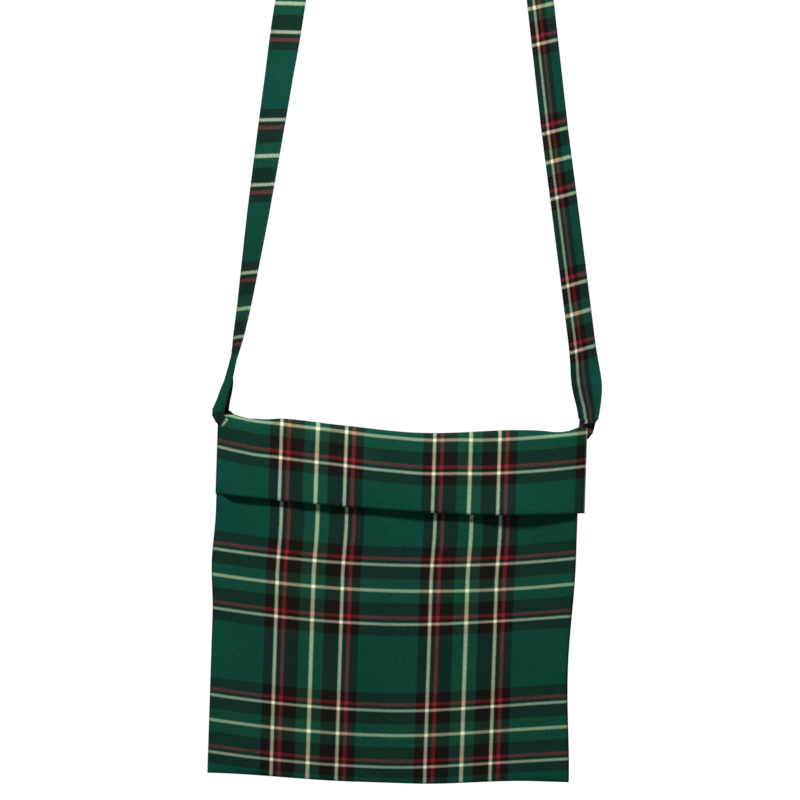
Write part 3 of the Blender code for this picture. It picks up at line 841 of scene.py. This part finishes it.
def stitch_tree():
    """Geometry nodes that lay stitches of thread along the edges of a guide mesh."""
    tree = bpy.data.node_groups.new("stitches_along_guides", "GeometryNodeTree")
    face = tree.interface
    face.new_socket("Geometry", in_out="INPUT", socket_type="NodeSocketGeometry")
    sockets = {}
    for name, value in (("Pitch", 0.0032), ("Stitch Length", 0.0024), ("Thread Radius", 0.00022),
                        ("Unevenness", 0.12)):
        socket = face.new_socket(name, in_out="INPUT", socket_type="NodeSocketFloat")
        socket.default_value = value
        sockets[name] = socket.identifier
    face.new_socket("Geometry", in_out="OUTPUT", socket_type="NodeSocketGeometry")
    nodes = tree.nodes
    link = tree.links.new

    def enabled(sockets, name):
        return next(socket for socket in sockets if socket.name == name and socket.enabled)

    inputs = nodes.new("NodeGroupInput")
    curve = nodes.new("GeometryNodeMeshToCurve")
    link(inputs.outputs["Geometry"], curve.inputs["Mesh"])
    even = nodes.new("GeometryNodeResampleCurve")
    even.mode = "LENGTH"
    link(curve.outputs["Curve"], even.inputs["Curve"])
    link(inputs.outputs["Pitch"], even.inputs["Length"])
    stitch = nodes.new("GeometryNodeMeshUVSphere")
    stitch.inputs["Segments"].default_value = 6
    stitch.inputs["Rings"].default_value = 5
    stitch.inputs["Radius"].default_value = 1.0
    size = nodes.new("ShaderNodeCombineXYZ")
    half = nodes.new("ShaderNodeMath")
    half.operation = "MULTIPLY"
    half.inputs[1].default_value = 0.5
    link(inputs.outputs["Stitch Length"], half.inputs[0])
    link(half.outputs[0], size.inputs["X"])
    link(inputs.outputs["Thread Radius"], size.inputs["Y"])
    link(inputs.outputs["Thread Radius"], size.inputs["Z"])
    shaped = nodes.new("GeometryNodeTransform")
    link(stitch.outputs["Mesh"], shaped.inputs["Geometry"])
    link(size.outputs["Vector"], shaped.inputs["Scale"])
    tangent = nodes.new("GeometryNodeInputTangent")
    aim = nodes.new("FunctionNodeAlignRotationToVector")
    aim.axis = "X"
    link(tangent.outputs["Tangent"], aim.inputs["Vector"])
    chance = nodes.new("FunctionNodeRandomValue")
    chance.data_type = "FLOAT"
    chance.inputs["Seed"].default_value = 7
    low = nodes.new("ShaderNodeMath")
    low.operation = "SUBTRACT"
    low.inputs[0].default_value = 1.0
    link(inputs.outputs["Unevenness"], low.inputs[1])
    link(low.outputs[0], enabled(chance.inputs, "Min"))
    enabled(chance.inputs, "Max").default_value = 1.0
    place = nodes.new("GeometryNodeInstanceOnPoints")
    link(even.outputs["Curve"], place.inputs["Points"])
    link(shaped.outputs["Geometry"], place.inputs["Instance"])
    link(aim.outputs["Rotation"], place.inputs["Rotation"])
    link(enabled(chance.outputs, "Value"), place.inputs["Scale"])
    real = nodes.new("GeometryNodeRealizeInstances")
    link(place.outputs["Instances"], real.inputs["Geometry"])
    paint = nodes.new("GeometryNodeSetMaterial")
    paint.inputs["Material"].default_value = green_thread
    link(real.outputs["Geometry"], paint.inputs["Geometry"])
    result = nodes.new("NodeGroupOutput")
    link(paint.outputs["Geometry"], result.inputs["Geometry"])
    return tree, sockets


def stitch_rows(name, guides, **sizes):
    """Stitches along each guide, a list of points; the result is one plain mesh."""
    points, edges = [], []
    for guide in guides:
        edges += [(len(points) + i, len(points) + i + 1) for i in range(len(guide) - 1)]
        points += [tuple(point) for point in guide]
    mesh = bpy.data.meshes.new(name + "_guides")
    mesh.from_pydata(points, edges, [])
    guide = bpy.data.objects.new(name + "_guides", mesh)
    bpy.context.scene.collection.objects.link(guide)
    modifier = guide.modifiers.new("stitches", "NODES")
    modifier.node_group = STITCHES
    for key, value in sizes.items():
        modifier[SOCKETS[key.replace("_", " ").title()]] = value
    evaluated = guide.evaluated_get(bpy.context.evaluated_depsgraph_get())
    made_mesh = bpy.data.meshes.new_from_object(evaluated)
    made_mesh.name = name
    made = bpy.data.objects.new(name, made_mesh)
    bpy.context.scene.collection.objects.link(made)
    bpy.data.objects.remove(guide)
    made_mesh.polygons.foreach_set("use_smooth", [True] * len(made_mesh.polygons))
    return made


STITCHES, SOCKETS = stitch_tree()
THREAD_LIFT = 0.00005          # middle of the thread over the cloth
STRAP_STITCH_INSET = 0.0022    # row of stitches to the strap's edge
STRAP_STITCH_SKIP = 8          # stations at each sewn end without edge stitching
MOUTH_STITCH_RISE = 0.002      # row of stitches to the hem's edge
TACK_STITCHES = 15


def strap_stitches():
    """A row of edge stitching along both edges of the strap, on both of its sides."""
    inset = STRAP_WIDTH / 2 - STRAP_STITCH_INSET
    rings = strap_rings(STRAP_CLOTH / 2 + THREAD_LIFT, np.array([-inset, inset]))
    sewn = rings[STRAP_STITCH_SKIP:-STRAP_STITCH_SKIP]
    return stitch_rows("strap_edge_stitches", [sewn[:, place] for place in range(4)])


def mouth_stitches():
    """The row that holds the mouth hem, on the front of the front panel."""
    x = np.linspace(-HALF_WIDTH + 0.004, HALF_WIDTH - 0.004, 90)
    z = np.full_like(x, MOUTH_Z - MOUTH_HEM + MOUTH_STITCH_RISE)
    y = SEAM_Y - front_depth(x, z) - front_creases(x, z, HALF_WIDTH - np.abs(x)) - CLOTH
    guide = np.stack([x, y - THREAD_LIFT, z], axis=-1)
    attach(stitch_rows("mouth_hem_stitches", [guide]), "pouch")


def tack_stitches():
    """A bar tack through the strap's end on the back, at each top corner."""
    guides = []
    for side in ("left", "right"):
        low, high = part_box(side + "_strap_tack")
        for index in range(TACK_STITCHES):
            x = low.x + (high.x - low.x) * (index + 0.5) / TACK_STITCHES
            tilt = 0.0004 if index % 2 else -0.0004
            z = np.array([low.z, high.z])
            y = SEAM_Y + back_depth(x, z) * curl(HALF_WIDTH - abs(x)) + CLOTH + 0.0001
            guides.append([(x - tilt, y[0], z[0]), (x + tilt, y[1], z[1])])
    made = stitch_rows("strap_bar_tacks", guides, pitch=0.0022, stitch_length=0.0040,
                       thread_radius=0.00042)
    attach(made, "pouch")
    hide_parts("left_strap_tack", "right_strap_tack")


front_panel()
back_panel()
linings()
seam_allowances()
flap_outer, flap_inner = flap()
strap_piece = strap()
strap_thread = strap_stitches()
mouth_stitches()
tack_stitches()

for piece in (flap_outer, flap_inner):
    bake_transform(piece)
for piece in (strap_piece, strap_thread):
    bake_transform(piece)

# Stage -------------------------------------------------------------------------------------
FLOOR_Z = BOTTOM_Z - 1.10
FLOOR_RADIUS = 3.0
FLOOR_SIDES = 64
CAMERA_REACH = 3.0
SENSOR = 36.0
FIELD = 0.6504                 # width of the view at the bag
ROLL = math.radians(1.87)      # the bag is seen leaning a little
AIM = Vector((-0.0003, -0.010, -0.5286))
LAMPS_AIM = (0.0, 0.0, -0.68)


def white_stage():
    """White all round to the camera, little of it as light, and a pale floor far below."""
    scene = bpy.context.scene
    scene.view_settings.view_transform = "Standard"
    world = bpy.data.worlds.new("studio")
    scene.world = world
    world.use_nodes = True
    tree = world.node_tree
    seen = tree.nodes.new("ShaderNodeBackground")
    seen.inputs["Color"].default_value = (1.0, 1.0, 1.0, 1.0)
    seen.inputs["Strength"].default_value = 1.02
    light = tree.nodes["Background"]
    light.inputs["Color"].default_value = (0.95, 0.98, 1.0, 1.0)
    light.inputs["Strength"].default_value = 0.09
    path = tree.nodes.new("ShaderNodeLightPath")
    mix = tree.nodes.new("ShaderNodeMixShader")
    tree.links.new(path.outputs["Is Camera Ray"], mix.inputs["Fac"])
    tree.links.new(light.outputs["Background"], mix.inputs[1])
    tree.links.new(seen.outputs["Background"], mix.inputs[2])
    tree.links.new(mix.outputs["Shader"], tree.nodes["World Output"].inputs["Surface"])
    mesh = bpy.data.meshes.new("pale_floor")
    rim = [(FLOOR_RADIUS * math.cos(a), FLOOR_RADIUS * math.sin(a), FLOOR_Z)
           for a in np.linspace(0, 2 * math.pi, FLOOR_SIDES + 1)[:-1]]
    mesh.from_pydata(rim, [], [tuple(range(FLOOR_SIDES))])
    floor = bpy.data.objects.new("pale_floor", mesh)
    scene.collection.objects.link(floor)
    paint = bpy.data.materials.new("pale_floor")
    paint.use_nodes = True
    shader = paint.node_tree.nodes["Principled BSDF"]
    shader.inputs["Base Color"].default_value = (0.86, 0.86, 0.86, 1.0)
    shader.inputs["Roughness"].default_value = 0.9
    shader.inputs["Specular IOR Level"].default_value = 0.1
    mesh.materials.append(paint)


def lamp(name, place, size, power):
    """A soft round lamp that faces the pouch."""
    light = bpy.data.lights.new(name, "AREA")
    light.shape = "DISK"
    light.size = size
    light.energy = power
    made = bpy.data.objects.new(name, light)
    made.location = place
    aim = Vector(LAMPS_AIM) - Vector(place)
    made.rotation_euler = aim.to_track_quat("-Z", "Y").to_euler()
    bpy.context.scene.collection.objects.link(made)


def camera():
    """Level with the bag and straight in front of it."""
    data = bpy.data.cameras.new("camera")
    data.sensor_width = SENSOR
    data.lens = SENSOR * CAMERA_REACH / FIELD
    data.clip_end = 60.0
    made = bpy.data.objects.new("camera", data)
    made.location = AIM - Vector((0.0, CAMERA_REACH, 0.0))
    made.rotation_mode = "XYZ"
    made.rotation_euler = (math.pi / 2, -ROLL, 0.0)
    bpy.context.scene.collection.objects.link(made)
    bpy.context.scene.camera = made


white_stage()
lamp("key", (-0.35, -1.45, 1.15), 0.45, 72.0)
lamp("fill", (1.4, -2.2, -0.2), 1.6, 3.0)
lamp("back", (0.4, 2.2, 0.8), 1.6, 34.0)
camera()
